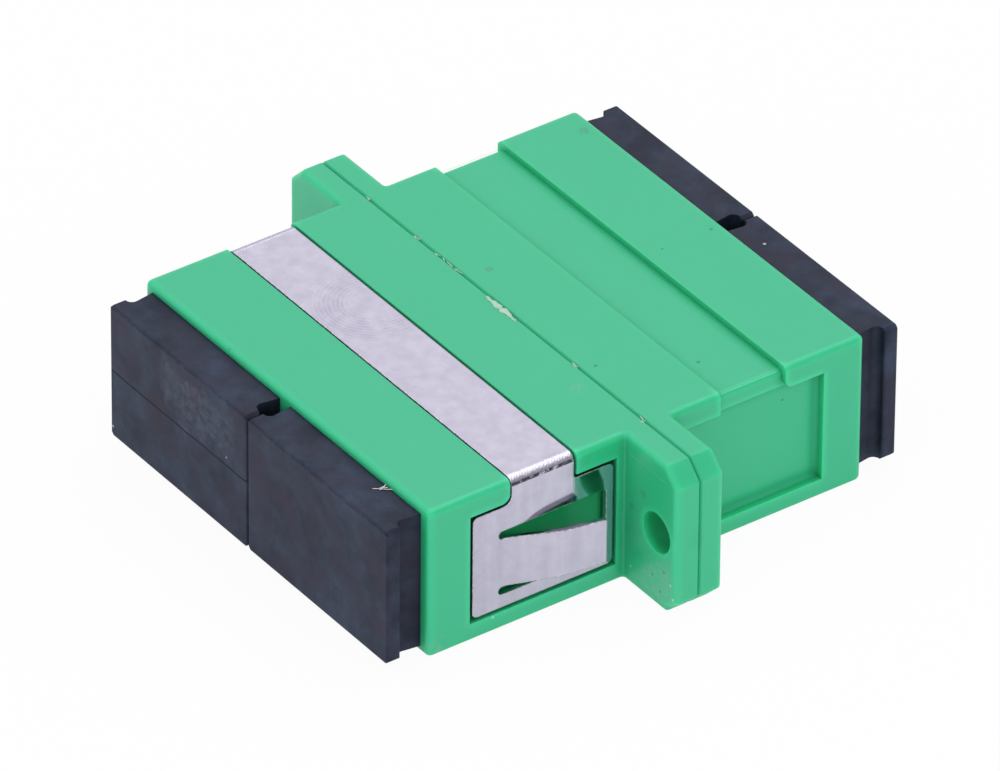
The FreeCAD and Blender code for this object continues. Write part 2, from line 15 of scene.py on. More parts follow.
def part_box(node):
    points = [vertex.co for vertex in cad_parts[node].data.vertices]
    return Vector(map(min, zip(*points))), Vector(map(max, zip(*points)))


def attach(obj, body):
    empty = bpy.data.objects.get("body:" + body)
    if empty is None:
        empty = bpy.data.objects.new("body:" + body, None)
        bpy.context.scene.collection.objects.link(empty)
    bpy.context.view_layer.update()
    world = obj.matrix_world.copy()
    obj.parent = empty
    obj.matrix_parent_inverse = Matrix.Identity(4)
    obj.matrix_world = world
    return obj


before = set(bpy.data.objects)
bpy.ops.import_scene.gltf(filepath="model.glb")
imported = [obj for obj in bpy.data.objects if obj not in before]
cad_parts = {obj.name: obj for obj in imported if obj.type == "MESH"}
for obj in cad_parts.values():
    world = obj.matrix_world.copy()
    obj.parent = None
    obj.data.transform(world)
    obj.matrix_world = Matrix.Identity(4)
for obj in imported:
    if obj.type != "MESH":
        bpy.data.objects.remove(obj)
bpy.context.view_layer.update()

bl_info = {
    "name": "Fibre Adapter Finishes",
    "version": (1, 0, 0),
    "blender": (4, 5, 0),
    "location": "View3D > Sidebar > Adapter",
    "description": "Dresses a duplex SC adapter with its plastics, steel and moulding marks",
    "category": "Object",
}

MM = 0.001
HOUSINGS = ("front_housing", "rear_housing")
CLIP = "panel_clip"
CAPS = [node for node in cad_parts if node.startswith("dust_cap")]
HOLDERS = [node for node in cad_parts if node.startswith("latch_holder")]
SLEEVES = [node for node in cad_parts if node.startswith("alignment_sleeve")]

# Coloured marks, in millimetres: each has x, y, z and radius

DARK_SPECKS = ((0.4, 13.2, 9.3, 0.13), (0.4, 10.0, 9.3, 0.1), (7.1, 0.8, 9.3, 0.14),
               (9.5, 5.7, 8.95, 0.14), (12.35, 9.1, 6.8, 0.11), (16.5, -1.5, 2.5, 0.12),
               (15.5, -1.5, 1.8, 0.1), (16.2, -1.5, 1.1, 0.12))
PALE_SPECKS = ((17.1, -1.5, 2.0, 0.1), (13.6, -1.5, 1.2, 0.08), (12.6, -0.1, 9.3, 0.1),
               (12.95, -9.9, 1.0, 0.1), (17.3, -1.5, 1.2, 0.09))
SMUDGES = ((-11.0, 13.1, 9.3, 0.4), (14.6, -1.5, 6.4, 0.3), (13.6, -1.5, 5.1, 0.3),
           (-3.3, 1.4, 9.3, 0.3), (-5.2, -13.9, 9.15, 0.14))
SCUFFS = ((16.0, -1.5, 1.8, 1.9), (8.3, -1.1, 9.3, 0.6), (12.7, -13.7, 0.5, 0.8))
CAP_SPECKS = ((2.6, 15.1, 8.85, 0.12), (-12.45, -16.4, 1.1, 0.1), (-1.9, -16.4, 5.2, 0.07))
SCREW_HOLES = ((15.8, -0.3, 4.65, 1.9), (-15.8, -0.3, 4.65, 1.9))

# The rubbed patch on the front left cap and the round polishing lines on the clip, in millimetres

RUB_X = (-7.4, -1.7)
RUB_Z = (5.9, 7.8)
SWIRL_CENTRE = (-4.4, -5.4, 9.25)
SWIRL_REACH = (1.5, 2.9)

# Real polishing and bending lines are a few hundredths of a millimetre apart. These are coarser,
# so that they show.

SWIRL_STEP = 0.24
HATCH_STEP = 0.14

# Torn flash along the seam, in millimetres: the main flake has its centre, length and width, and
# each group of flecks its centre and spread. A fleck's offset from the seam is a mean and a
# deviation, its length and width are ranges, its rise is a share of the flash's height, and its
# turn is in radians.

MAIN_FLAKE = (0.0, 2.9, 0.5)
FLECKS = ((-12.4, 0.6), (-7.8, 0.6), (-5.0, 1.8), (6.4, 0.9), (12.5, 0.3))
FLECK_SEED = 7
FLECK_SPACING = 0.16
FLECK_GATHER = 3.5
FEWEST_FLECKS = 3
FLECK_OFFSET = (-0.05, 0.06)
FLECK_LENGTH = (0.14, 0.42)
FLECK_WIDTH = (0.04, 0.1)
FLECK_RISE = 0.4
FLECK_TURN = 0.5
SCAR_OFFSET = 0.4

# The flake that all flash is cut from: how much longer it is than wide before it is torn, and the
# size, depth and middle level of its ragged rim, in its own half widths

FLAKE_STRETCH = 5.0
RAGGED_GRAIN = 0.6
RAGGED_DEPTH = 2.4
RAGGED_MIDDLE = 0.6

# Lint fibres, in millimetres: x, y and lift above the cap at both ends

LINT = (((8.95, -14.75, 0.0), (9.75, -13.9, 0.05)), ((9.1, -14.25, 0.0), (9.42, -14.3, 0.12)),
        ((9.18, -14.1, 0.0), (9.38, -14.45, 0.14)), ((9.12, -14.42, 0.0), (9.44, -14.12, 0.1)),
        ((9.2, -14.2, 0.02), (9.34, -14.28, 0.2)), ((9.28, -14.5, 0.0), (9.24, -14.1, 0.16)))

# Faces of the housings and the mould lines on them, in millimetres

SIDE_X = 12.95
FRONT_Y = -13.95
EAR_FACE_Y = -1.52
WITNESS_DROP = 1.06
WITNESS_END_X = 17.1
SLIDE_LINE_Z = 1.14
SLIDE_LINE_START_Y = -11.4
SLIDE_LINE_END_X = 12.1
LEDGE_X = 12.55
LEDGE_Y = (5.0, 8.5)
LEDGE_Z = 8.95
BEAD_TAPER = 0.04
BEAD_TIP = 0.3

# Index of refraction of each material

PBT_IOR = 1.55
POLYETHYLENE_IOR = 1.5
ZIRCONIA_IOR = 2.1
COTTON_IOR = 1.53

# A wave texture at scale 1 draws this many lines in a unit, and edges and corners are looked up
# with this many rays

WAVES_PER_UNIT = 3.183
EDGE_SAMPLES = 3

# The stage, in metres: the floor lies a little under the part, so that the two never coincide

FLOOR_RADIUS = 3.0
FLOOR_DROP = 0.00005
FLOOR_WHITE_SEEN = 0.95
FLOOR_WHITE_ELSEWHERE = 0.5
LAMP_SIDE = 0.3
LAMP_PLACES = {"overhead": (-0.1, 0.2, 0.45), "key": (0.4, 0.0, 0.3), "fill": (0.05, -0.45, 0.2)}
MIRRORED_LAMP = "overhead"
SENSOR_WIDTH = 36.0
CAMERA_REACH = (0.01, 10.0)


# Small tools

def linear(code, alpha=True):
    """An sRGB hex colour as the linear values that shaders use."""
    channels = []
    for start in (1, 3, 5):
        value = int(code[start:start + 2], 16) / 255
        channels.append(value / 12.92 if value <= 0.04045 else ((value + 0.055) / 1.055) ** 2.4)
    return tuple(channels) + ((1.0,) if alpha else ())


def add_node(tree, kind, inputs=(), **settings):
    """Add one shader node. Settings are its properties. Inputs are given in order, or by name or
    number: a value, a socket that feeds it, or a node, of which the first open output feeds it."""
    node = tree.nodes.new("ShaderNode" + kind)
    for name, value in settings.items():
        setattr(node, name, value)
    pairs = inputs.items() if isinstance(inputs, dict) else enumerate(inputs)
    for name, value in pairs:
        if isinstance(value, bpy.types.Node):
            value = next(output for output in value.outputs if output.enabled)
        if isinstance(value, bpy.types.NodeSocket):
            tree.links.new(value, node.inputs[name])
        else:
            node.inputs[name].default_value = value
    return node


def start_material(name):
    """An empty node material, a way to add nodes to it, and its object's coordinates in metres."""
    material = bpy.data.materials.new(name)
    material.use_nodes = True
    tree = material.node_tree
    tree.nodes.clear()
    add = partial(add_node, tree)
    return material, add, add("TexCoord").outputs["Object"]


def put_on(nodes, material):
    """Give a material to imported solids."""
    for name in nodes:
        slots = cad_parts[name].data.materials
        slots.clear()
        slots.append(material)


def per_mm(length_mm):
    """Texture scale at which one feature is this many millimetres across."""
    return 1 / (length_mm * MM)


def product(add, *factors):
    """Masks multiplied, so that all of them must hold."""
    mask = factors[0]
    for factor in factors[1:]:
        mask = add("Math", (mask, factor), operation="MULTIPLY")
    return mask


def within(add, value, low_mm, high_mm, soft_mm):
    """1 between two places along an axis, with soft ends."""
    above = add("MapRange", (value, (low_mm - soft_mm) * MM, low_mm * MM, 0.0, 1.0))
    below = add("MapRange", (value, high_mm * MM, (high_mm + soft_mm) * MM, 1.0, 0.0))
    return product(add, above, below)


def marks(add, position, spots):
    """Mask of small round marks, each given as x, y, z and radius in millimetres."""
    mask = 0.0
    for x, y, z, radius in spots:
        away = add("VectorMath", (position, (x * MM, y * MM, z * MM)), operation="DISTANCE")
        spot = add("MapRange", (away, radius * 0.5 * MM, radius * MM, 1.0, 0.0))
        mask = add("Math", (mask, spot), operation="MAXIMUM")
    return mask


def dust(add, position, spacing_mm, size_mm, share):
    """Mask of scattered specks: one place every spacing, of which only a share holds a speck."""
    cells = add("TexVoronoi", {"Vector": position, "Scale": per_mm(spacing_mm)})
    reach = 0.5 * size_mm / spacing_mm
    speck = add("MapRange", (cells.outputs["Distance"], reach * 0.5, reach, 1.0, 0.0))
    chance = add("SeparateColor", {"Color": cells.outputs["Color"]})
    chosen = add("Math", (chance.outputs[0], share), operation="LESS_THAN")
    return product(add, speck, chosen)


def layered(add, colour, layers):
    """Lay further colours over a first one, each where its own mask is 1."""
    for mask, code in layers:
        colour = add("Mix", {0: mask, 6: colour, 7: linear(code)}, data_type="RGBA")
    return colour


def opaque(colour):
    """A setting's colour with the alpha that a node's colour has."""
    return (*colour, 1.0)


# Materials

def moulded_pbt(finish):
    """Injection-moulded green PBT: satin and slightly translucent, with a painted glow on its
    edges.
    """
    material, add, position = start_material("moulded_green_pbt")
    x, y, z = add("SeparateXYZ", {"Vector": position}).outputs
    out_x = add("Math", (x,), operation="ABSOLUTE")
    out_y = add("Math", (y,), operation="ABSOLUTE")
    low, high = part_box(CLIP)

    # The pigment drifts a little over some millimetres
    cloud = add("TexNoise", {"Vector": position, "Scale": per_mm(7.0), "Detail": 3.0})
    drift = add("MapRange", (cloud, 0.3, 0.7, 0.0, 0.25))

    # Painted glow: outer lips and edges are painted a lighter green, but not along the weld seam
    thin = add("AmbientOcclusion", {"Distance": 0.45 * MM}, inside=True, samples=EDGE_SAMPLES)
    edge = add("MapRange", (thin.outputs["AO"], 0.5, 0.95, 0.8, 0.0))
    sides = add("MapRange", (out_x, (SIDE_X - 0.9) * MM, (SIDE_X - 0.4) * MM, 0.0, 1.0))
    ends = add("MapRange", (out_y, (-FRONT_Y - 0.6) * MM, (-FRONT_Y - 0.2) * MM, 0.0, 1.0))
    off_seam = add("MapRange", (out_y, 0.3 * MM, 0.7 * MM, 0.0, 1.0))
    outer = product(add, add("Math", (sides, ends), operation="MAXIMUM"), off_seam)

    # Painted shade darkens corners and narrow gaps, but not where the part rests on the floor
    close = add("AmbientOcclusion", {"Distance": 0.7 * MM}, samples=EDGE_SAMPLES).outputs["AO"]
    lifted = add("MapRange", (z, 0.05 * MM, 0.4 * MM, 0.0, 1.0))
    corner_shade = product(add, add("MapRange", (close, 0.5, 0.96, 1.0, 0.0)), lifted)
    painted_gap_shade = add("MapRange", (close, 0.1, 0.36, 0.85, 0.0))

    # Painted shade: the green is deeper and darker behind the clip and in the screw holes
    behind = product(add, within(add, out_x, 8.0, SIDE_X - 0.4, 0.1),
                     within(add, y, low.y / MM - 0.2, high.y / MM + 0.2, 0.05),
                     within(add, z, 0.9, high.z / MM - 0.85, 0.05))
    past_face = add("MapRange",
                    (y, (EAR_FACE_Y + 0.1) * MM, (EAR_FACE_Y + 0.6) * MM, 0.0, 1.0))
    in_hole = product(add, marks(add, position, SCREW_HOLES), past_face)

    # Handling leaves smudges, scuffs and specks
    blots = add("TexNoise", {"Vector": position, "Scale": per_mm(0.15)})
    smudged = product(add, marks(add, position, SMUDGES), 0.55,
                      add("MapRange", (blots, 0.4, 0.6, 0.3, 1.0)))
    scratches = add("TexNoise", {"Vector": position, "Scale": per_mm(0.5), "Detail": 5.0,
                                 "Roughness": 0.7})
    haze = add("MapRange", (scratches, 0.42, 0.6, 0.0, 1.0))
    specks = add("Math", (marks(add, position, DARK_SPECKS),
                          dust(add, position, 2.6, 0.12, 0.03)), operation="MAXIMUM")

    colour = layered(add, opaque(finish.housing), (
        (drift, "#30C084"),
        # painted glow on the outer lips and edges
        (product(add, edge, outer), "#38D898"),
        # painted shade in corners
        (product(add, corner_shade, 0.5), "#109A5C"),
        # painted shade behind the clip and in the screw holes
        (add("Math", (behind, in_hole), operation="MAXIMUM"), "#00A055"),
        # painted shade in the narrowest gaps
        (product(add, painted_gap_shade, lifted), "#04301E"),
        (smudged, "#3C7F68"),
        (product(add, marks(add, position, SCUFFS), haze, 0.55), "#6FB894"),
        (product(add, specks, 0.6), "#125A40"),
        (product(add, marks(add, position, PALE_SPECKS), 0.7), "#BFE8D0"),
    ))

    # The mould's fine spark texture, drawn coarser than it is so that it shows
    grain = add("TexNoise", {"Vector": position, "Scale": per_mm(0.11), "Detail": 1.0})
    sheen = add("TexNoise", {"Vector": position, "Scale": per_mm(1.6), "Detail": 4.0})
    rough = add("Math", (add("MapRange", (sheen, 0.35, 0.65, 0.32, 0.4)),
                         product(add, corner_shade, 0.55)), operation="ADD")
    rounded = add("Bevel", {"Radius": finish.moulded_edge}, samples=EDGE_SAMPLES)
    bump = add("Bump", {"Strength": 0.06, "Distance": 0.01 * MM, "Height": grain,
                        "Normal": rounded})
    shader = add("BsdfPrincipled",
                 {"Base Color": colour, "Roughness": rough, "IOR": PBT_IOR,
                  "Specular IOR Level": 1.0, "Specular Tint": linear("#B4CEFF"),
                  "Subsurface Weight": 0.55, "Subsurface Radius": (0.25, 1.0, 0.5),
                  "Subsurface Scale": 0.9 * MM, "Normal": bump})
    add("OutputMaterial", {"Surface": shader})
    return material


def torn_pbt(name, rim, core):
    """Flash of the same plastic: whitened where it tore or stretched, brighter where thin."""
    material, add, position = start_material(name)
    torn = add("TexNoise", {"Vector": position, "Scale": per_mm(0.14), "Detail": 4.0,
                            "Roughness": 0.7})
    colour = layered(add, linear(rim), ((add("MapRange", (torn, 0.4, 0.6, 0.0, 1.0)), core),))
    bump = add("Bump", {"Strength": 0.6, "Distance": 0.03 * MM, "Height": torn})
    shader = add("BsdfPrincipled",
                 {"Base Color": colour, "Roughness": 0.4, "IOR": PBT_IOR,
                  "Subsurface Weight": 0.4, "Subsurface Radius": (0.4, 1.0, 0.6),
                  "Subsurface Scale": 0.3 * MM, "Normal": bump})
    add("OutputMaterial", {"Surface": shader})
    return material


def rolled_stainless(finish):
    """Bright rolled stainless strip: mirror-like plates, a satin top with round polishing lines,
    and a pebbled skin where the bends stretched it."""
    material, add, position = start_material("rolled_stainless_strip")
    x, _, z = add("SeparateXYZ", {"Vector": position}).outputs
    out_x = add("Math", (x,), operation="ABSOLUTE")
    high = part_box(CLIP)[1]
    top = add("MapRange", (z, high.z - 0.45 * MM, high.z - 0.2 * MM, 0.0, 1.0))

    # Round polishing lines on the top, broken up by clouds, and streaks drawn down the plates
    centred = add("VectorMath", (position, tuple(-value * MM for value in SWIRL_CENTRE)),
                  operation="ADD")
    away = add("VectorMath", (centred,), operation="LENGTH")
    cloud = add("TexNoise", {"Vector": position, "Scale": per_mm(0.9), "Detail": 4.0,
                             "Roughness": 0.65})
    near = product(add, within(add, away, *SWIRL_REACH, 0.7),
                   add("MapRange", (cloud, 0.36, 0.56, 0.15, 1.0)))
    rings = add("TexWave", {"Vector": centred, "Scale": per_mm(SWIRL_STEP) / WAVES_PER_UNIT,
                            "Distortion": 2.2, "Detail": 2.0, "Detail Scale": 0.5},
                wave_type="RINGS", rings_direction="SPHERICAL")
    lines = product(add, rings.outputs["Fac"], near, top)
    drawn = add("Mapping", {"Vector": position, "Scale": (1.0, 1.0, 0.12)})
    streaks = add("TexNoise", {"Vector": drawn, "Scale": per_mm(0.7)})
    uneven = add("Math", (add("MapRange", (cloud, 0.35, 0.65, 0.0, 0.22)),
                          add("MapRange", (streaks, 0.35, 0.65, 0.0, 0.22))), operation="ADD")
    shade = add("Math", (product(add, lines, 0.33), uneven), operation="ADD")

    # The bends' skin, and a broken dark line under them that is a painted reflection
    turned = add("Mapping", {"Vector": position, "Rotation": (0.0, 0.0, math.radians(35))})
    hatch = add("TexWave", {"Vector": turned, "Scale": per_mm(HATCH_STEP) / WAVES_PER_UNIT,
                            "Distortion": 5.0, "Detail": 2.0, "Detail Scale": 2.0},
                wave_type="BANDS", bands_direction="Y")
    lumps = add("TexNoise", {"Vector": position, "Scale": per_mm(0.2)})
    pebbles = add("Math", (product(add, hatch.outputs["Fac"], 0.6), lumps), operation="ADD")
    bend = product(add, within(add, out_x, SIDE_X - 0.6, SIDE_X + 0.1, 0.1),
                   add("MapRange", (z, high.z - 0.42 * MM, high.z - 0.28 * MM, 0.0, 1.0)))
    skin = product(add, pebbles, add("MapRange", (bend, 0.0, 1.0, 0.02, 1.0)))
    breaks = add("TexNoise", {"Vector": position, "Scale": per_mm(0.25), "Detail": 3.0})
    painted_bend_reflection = product(add, within(add, out_x, SIDE_X - 0.5, SIDE_X + 0.1, 0.1),
                   add("MapRange", (breaks, 0.36, 0.52, 0.1, 1.0)),
                   within(add, z, high.z / MM - 0.42, high.z / MM - 0.3, 0.05))

    # The punched edges get a painted bright highlight, and a brown torn tone in places
    rounded = add("Bevel", {"Radius": finish.punched_edge}, samples=EDGE_SAMPLES)
    flat = add("NewGeometry").outputs["True Normal"]
    facing = add("VectorMath", (rounded, flat), operation="DOT_PRODUCT")
    burr_and_painted_glint = add("MapRange", (facing, 0.88, 0.98, 1.0, 0.0))
    tears = add("TexNoise", {"Vector": position, "Scale": per_mm(0.16), "Detail": 3.0})
    torn = add("MapRange", (tears, 0.45, 0.56, 0.0, 0.75))

    close = add("AmbientOcclusion", {"Distance": 0.4 * MM}, samples=EDGE_SAMPLES).outputs["AO"]
    colour = layered(add, opaque(finish.clip), (
        (shade, "#A9A4B8"),
        # painted dark reflection under the bends
        (product(add, painted_bend_reflection, 0.9), "#26242B"),
        # painted highlight along the punched edges
        (product(add, burr_and_painted_glint, 0.7), "#FFFDF8"),
        (product(add, burr_and_painted_glint, torn), "#55433A"),
        # painted shade in the narrow gaps round the clip
        (add("MapRange", (close, 0.2, 0.55, 0.9, 0.0)), "#0C1A16"),
    ))

    # The plates are brighter than the top, and the bends brightest
    dulling = add("TexNoise", {"Vector": position, "Scale": per_mm(0.8), "Detail": 3.0})
    rough = add("Math", (add("MapRange", (top, 0.0, 1.0, 0.07, 0.18)),
                         add("MapRange", (dulling, 0.3, 0.7, 0.0, 0.05))), operation="ADD")
    rough = product(add, rough, add("MapRange", (bend, 0.0, 1.0, 1.0, 0.5)))
    bump = add("Bump", {"Strength": 0.7, "Distance": 0.02 * MM, "Height": skin,
                        "Normal": rounded})
    shader = add("BsdfPrincipled", {"Base Color": colour, "Metallic": 1.0, "Roughness": rough,
                                    "Normal": bump})
    add("OutputMaterial", {"Surface": shader})
    return material


def moulded_polyethylene(finish):
    """Black low-density polyethylene: soft and satin, with rubbed patches and specks of dust."""
    material, add, position = start_material("moulded_black_polyethylene")
    x, y, z = add("SeparateXYZ", {"Vector": position}).outputs
    low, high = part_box("dust_cap_front_left")
    middle = (low.z + high.z) / 2 / MM

    # Handling has rubbed the plastic unevenly, and its black drifts between blue and violet
    rub = add("TexNoise", {"Vector": position, "Scale": per_mm(2.6), "Detail": 6.0,
                           "Roughness": 0.68})
    hue = add("TexNoise", {"Vector": position, "Scale": per_mm(1.7), "Detail": 3.0})

    # The front left cap's face has a rubbed patch, a painted-shade parting line and a dotted rim
    face = add("MapRange", (y, low.y + 0.05 * MM, low.y + 0.2 * MM, 1.0, 0.0))
    strokes = add("TexNoise", {"Vector": position, "Scale": per_mm(0.5), "Detail": 5.0,
                               "Roughness": 0.7})
    off_middle = add("Math", (rub, 0.5), operation="SUBTRACT")
    lean = add("Math", (z, product(add, off_middle, 6.0 * MM)), operation="ADD")
    patch = product(add, face, within(add, x, *RUB_X, 0.8), within(add, lean, *RUB_Z, 0.7),
                    add("MapRange", (strokes, 0.38, 0.64, 0.15, 1.0)))
    sway = add("TexNoise", {"Vector": position, "Scale": per_mm(1.4)})
    wander = add("Math", (z, add("MapRange", (sway, 0.3, 0.7, -0.04 * MM, 0.04 * MM))),
                 operation="ADD")
    # the parting line is painted as the shade of its fine groove
    parting = product(add, face, within(add, x, low.x / MM, high.x / MM, 0.01),
                      within(add, wander, middle + 0.03, middle + 0.09, 0.03))
    dots = add("TexNoise", {"Vector": position, "Scale": per_mm(0.22)})
    rim = product(add, face, add("MapRange", (dots, 0.42, 0.5, 0.0, 1.0)),
                  within(add, z, high.z / MM - 0.2, high.z / MM - 0.13, 0.02))

    # Painted shade darkens corners, but not where the cap is near the floor
    close = add("AmbientOcclusion", {"Distance": 1.4 * MM}, samples=EDGE_SAMPLES).outputs["AO"]
    corner_shade = product(add, add("MapRange", (close, 0.3, 0.9, 0.75, 0.0)),
                     add("MapRange", (z, 0.5 * MM, 1.2 * MM, 0.0, 1.0)))
    dark = add("Math", (product(add, rim, 0.7), corner_shade), operation="MAXIMUM")
    dark = add("Math", (product(add, parting, 0.9), dark), operation="MAXIMUM")
    specks = add("Math", (marks(add, position, CAP_SPECKS),
                          dust(add, position, 2.1, 0.1, 0.03)), operation="MAXIMUM")

    colour = layered(add, opaque(finish.cap), (
        (add("MapRange", (rub, 0.38, 0.66, 0.0, 1.0)), "#363F53"),
        (add("MapRange", (hue, 0.45, 0.7, 0.0, 0.6)), "#30293C"),
        (product(add, patch, 0.4), "#5A6174"),
        # painted shade in corners and the parting groove, with the dotted rim
        (dark, "#0A0C12"),
        (product(add, specks, 0.75), "#C9CED6"),
    ))

    # The moulded skin, drawn coarser than it is so that it shows
    grain = add("TexNoise", {"Vector": position, "Scale": per_mm(0.09)})
    rounded = add("Bevel", {"Radius": finish.moulded_edge}, samples=EDGE_SAMPLES)
    bump = add("Bump", {"Strength": 0.25, "Distance": 0.01 * MM, "Height": grain,
                        "Normal": rounded})
    shader = add("BsdfPrincipled",
                 {"Base Color": colour, "Roughness": add("MapRange", (rub, 0.3, 0.7, 0.5, 0.62)),
                  "IOR": POLYETHYLENE_IOR, "Specular IOR Level": 0.2, "Normal": bump})
    add("OutputMaterial", {"Surface": shader})
    return material


def natural_pbt(finish):
    """Unpigmented moulded PBT: warm off-white and a little translucent."""
    material, add, position = start_material("moulded_natural_pbt")
    cloud = add("TexNoise", {"Vector": position, "Scale": per_mm(3.0)})
    colour = layered(add, opaque(finish.holder), ((cloud, "#E2DFD2"),))
    rounded = add("Bevel", {"Radius": finish.moulded_edge}, samples=EDGE_SAMPLES)
    shader = add("BsdfPrincipled",
                 {"Base Color": colour, "Roughness": 0.45, "IOR": PBT_IOR,
                  "Subsurface Weight": 0.3, "Subsurface Radius": (1.0, 0.9, 0.7),
                  "Subsurface Scale": 0.5 * MM, "Normal": rounded})
    add("OutputMaterial", {"Surface": shader})
    return material


def ground_zirconia(finish):
    """Ground and polished zirconia: dense, bright white and glossy."""
    material, add, position = start_material("polished_zirconia")
    haze = add("TexNoise", {"Vector": position, "Scale": per_mm(0.3)})
    shader = add("BsdfPrincipled",
                 {"Base Color": opaque(finish.sleeve), "IOR": ZIRCONIA_IOR,
                  "Roughness": add("MapRange", (haze, 0.3, 0.7, 0.08, 0.16))})
    add("OutputMaterial", {"Surface": shader})
    return material


def cotton_lint():
    """A wisp of cotton lint: matt white fibre with slightly uneven tone."""
    material, add, position = start_material("cotton_lint")
    tone = add("TexNoise", {"Vector": position, "Scale": per_mm(0.05)})
    colour = layered(add, linear("#D8DADB"), ((tone, "#F2F3F2"),))
    shader = add("BsdfPrincipled",
                 {"Base Color": colour, "Roughness": 0.85, "IOR": COTTON_IOR})
    add("OutputMaterial", {"Surface": shader})
    return material


# Settings

class AdapterFinishSettings(bpy.types.PropertyGroup):
    housing: bpy.props.FloatVectorProperty(
        name="Housing", description="Pigment of the two moulded halves",
        default=linear("#2ABD80", alpha=False), subtype="COLOR", min=0, max=1)
    clip: bpy.props.FloatVectorProperty(
        name="Clip", description="Tone of the rolled steel",
        default=linear("#CDC9DB", alpha=False), subtype="COLOR", min=0, max=1)
    cap: bpy.props.FloatVectorProperty(
        name="Cap", description="Tone of the black dust caps",
        default=linear("#1B2134", alpha=False), subtype="COLOR", min=0, max=1)
    holder: bpy.props.FloatVectorProperty(
        name="Holder", description="Tone of the natural latch holders",
        default=linear("#D9D5C6", alpha=False), subtype="COLOR", min=0, max=1)
    sleeve: bpy.props.FloatVectorProperty(
        name="Sleeve", description="Tone of the ceramic sleeves",
        default=linear("#ECEBE6", alpha=False), subtype="COLOR", min=0, max=1)
    moulded_edge: bpy.props.FloatProperty(
        name="Moulded edge", description="Softness of the plastics' edges",
        default=0.06 * MM, unit="LENGTH")
    punched_edge: bpy.props.FloatProperty(
        name="Punched edge", description="Roll-over along the clip's punched edges",
        default=0.1 * MM, unit="LENGTH")


class AdapterMarkSettings(bpy.types.PropertyGroup):
    flash_height: bpy.props.FloatProperty(
        name="Flash height", description="How far torn weld flash stands above the seam",
        default=0.04 * MM, unit="LENGTH")
    bead_radius: bpy.props.FloatProperty(
        name="Bead radius", description="Half thickness of the fine mould lines",
        default=0.035 * MM, unit="LENGTH")
    fibre_radius: bpy.props.FloatProperty(
        name="Fibre radius", description="Half thickness of a lint fibre",
        default=0.019 * MM, unit="LENGTH")


class AdapterStageSettings(bpy.types.PropertyGroup):
    azimuth: bpy.props.FloatProperty(
        name="Azimuth", description="Camera angle round the part, from the front ports",
        default=math.radians(54.144), subtype="ANGLE")
    elevation: bpy.props.FloatProperty(
        name="Elevation", description="Camera angle above the floor",
        default=math.radians(35.099), subtype="ANGLE")
    distance: bpy.props.FloatProperty(
        name="Distance", description="Camera distance from its target",
        default=0.7602, unit="LENGTH")
    target: bpy.props.FloatVectorProperty(
        name="Target", description="Point that the camera looks at",
        default=(0.00074, -0.000745, 0.005), subtype="XYZ", unit="LENGTH")
    lens: bpy.props.FloatProperty(
        name="Lens", description="Focal length in millimetres",
        default=519.96, unit="CAMERA")
    roll: bpy.props.FloatProperty(
        name="Roll", description="Camera turned about its own axis",
        default=math.radians(0.511), subtype="ANGLE")
    sky: bpy.props.FloatProperty(
        name="Sky", description="Strength of the even light all round",
        default=0.8, min=0, max=1, subtype="FACTOR")
    horizon: bpy.props.FloatProperty(
        name="Horizon", description="How bright the horizon is in reflections",
        default=0.35, min=0, max=1, subtype="FACTOR")
    wall: bpy.props.FloatProperty(
        name="Wall", description="How bright the wall on the right is in reflections",
        default=0.45, min=0, max=1, subtype="FACTOR")
    ceiling: bpy.props.FloatProperty(
        name="Ceiling", description="How much brighter than white the ceiling is in reflections",
        default=0.6, min=0, max=1, subtype="FACTOR")
    overhead: bpy.props.FloatProperty(
        name="Overhead", description="Power of the lamp above",
        default=0.245, min=0, unit="POWER")
    key: bpy.props.FloatProperty(
        name="Key", description="Power of the lamp on the right",
        default=0.38, min=0, unit="POWER")
    fill: bpy.props.FloatProperty(
        name="Fill", description="Power of the lamp in front",
        default=0.35, min=0, unit="POWER")


# Operators

class ADAPTER_OT_housings(bpy.types.Operator):
    """Give both moulded halves their green plastic"""
    bl_idname = "adapter.housings"
    bl_label = "Housings"

    def execute(self, context):
        put_on(HOUSINGS, moulded_pbt(context.scene.adapter_finish))
        return {"FINISHED"}


class ADAPTER_OT_clip(bpy.types.Operator):
    """Give the panel clip its rolled steel"""
    bl_idname = "adapter.clip"
    bl_label = "Panel clip"

    def execute(self, context):
        put_on([CLIP], rolled_stainless(context.scene.adapter_finish))
        return {"FINISHED"}


class ADAPTER_OT_caps(bpy.types.Operator):
    """Give the dust caps their black plastic"""
    bl_idname = "adapter.caps"
    bl_label = "Dust caps"

    def execute(self, context):
        put_on(CAPS, moulded_polyethylene(context.scene.adapter_finish))
        return {"FINISHED"}


class ADAPTER_OT_insides(bpy.types.Operator):
    """Give the latch holders and alignment sleeves their finishes"""
    bl_idname = "adapter.insides"
    bl_label = "Inner pieces"

    def execute(self, context):
        finish = context.scene.adapter_finish
        put_on(HOLDERS, natural_pbt(finish))
        put_on(SLEEVES, ground_zirconia(finish))
        return {"FINISHED"}


def settle(piece, material, body):
    """Apply a new piece's place to its mesh, finish it, and let it move with a body."""
    bpy.ops.object.select_all(action="DESELECT")
    piece.select_set(True)
    bpy.context.view_layer.objects.active = piece
    bpy.ops.object.transform_apply(location=True, rotation=True, scale=True)
    bpy.ops.object.shade_smooth_by_angle(angle=math.radians(40))
    piece.data.materials.clear()
    piece.data.materials.append(material)
    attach(piece, body)


def joined(parts):
    """Join loose parts into one piece."""
    bpy.ops.object.select_all(action="DESELECT")
    for part in parts:
        part.select_set(True)
    bpy.context.view_layer.objects.active = parts[0]
    bpy.ops.object.join()
    return bpy.context.object


